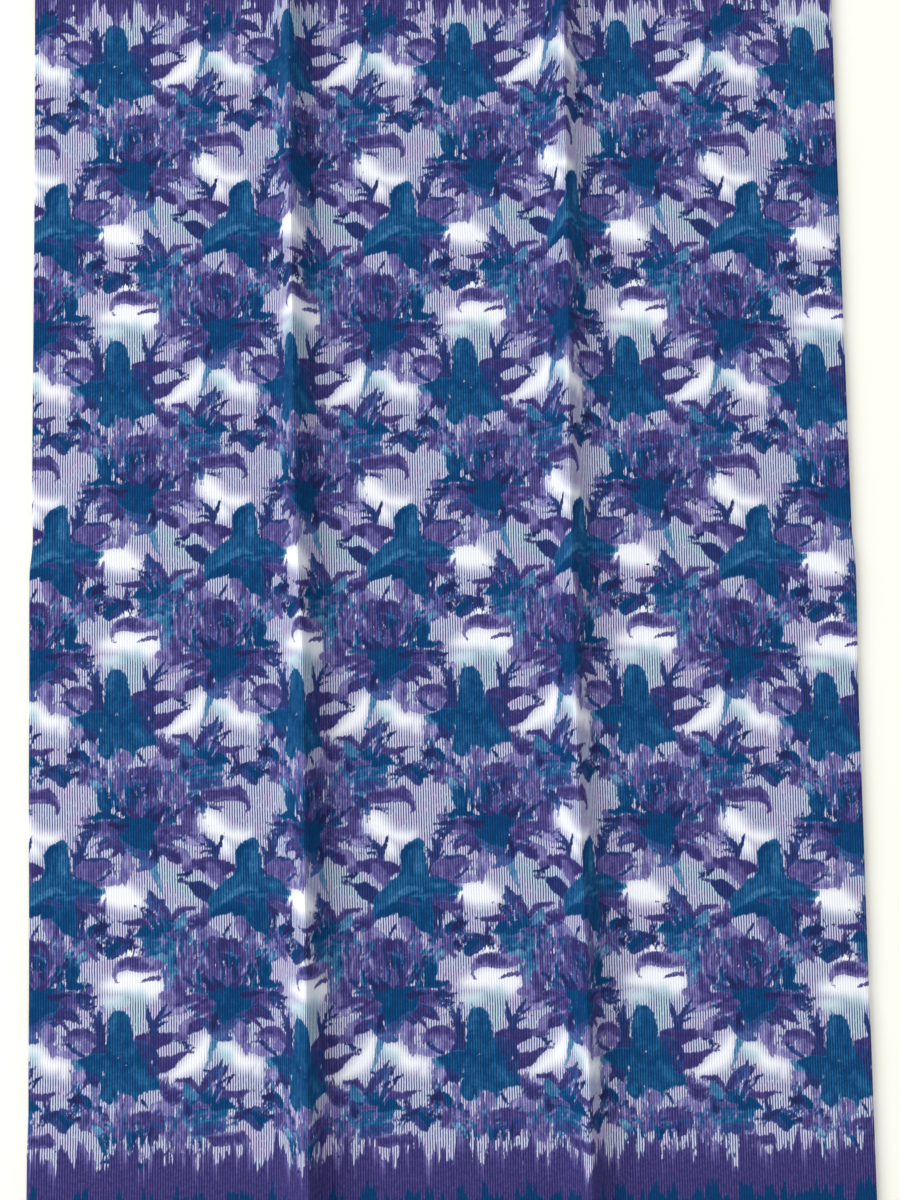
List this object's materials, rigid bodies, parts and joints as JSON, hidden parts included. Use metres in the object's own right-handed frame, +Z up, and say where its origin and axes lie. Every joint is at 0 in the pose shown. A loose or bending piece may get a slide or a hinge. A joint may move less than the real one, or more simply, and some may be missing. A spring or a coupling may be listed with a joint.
{
  "type": "folded saree",
  "caption": "Printed cotton saree folded flat: a wide thin pack of layers with side folds, two soft lengthwise packing ridges and a weak cross crease",
  "frame": {"origin": "under the middle of the folded pack, on the surface it lies on", "axes": "+X along the length of the cloth, from side fold to side fold; +Y across it, from selvedge to selvedge; +Z up, out of the layer that shows"},
  "size_m": [0.6467, 1.1212, 0.031],
  "materials": {
    "printed_cotton": "light ribbed cotton, floral print in teal, navy and purple on white",
    "printed_cotton_under": "the same ribbed cotton seen at the edges of the folded layers"
  },
  "bodies": {
    "root": {"top_layer": "printed_cotton", "folded_layers": "printed_cotton_under"}
  },
  "joints": []
}
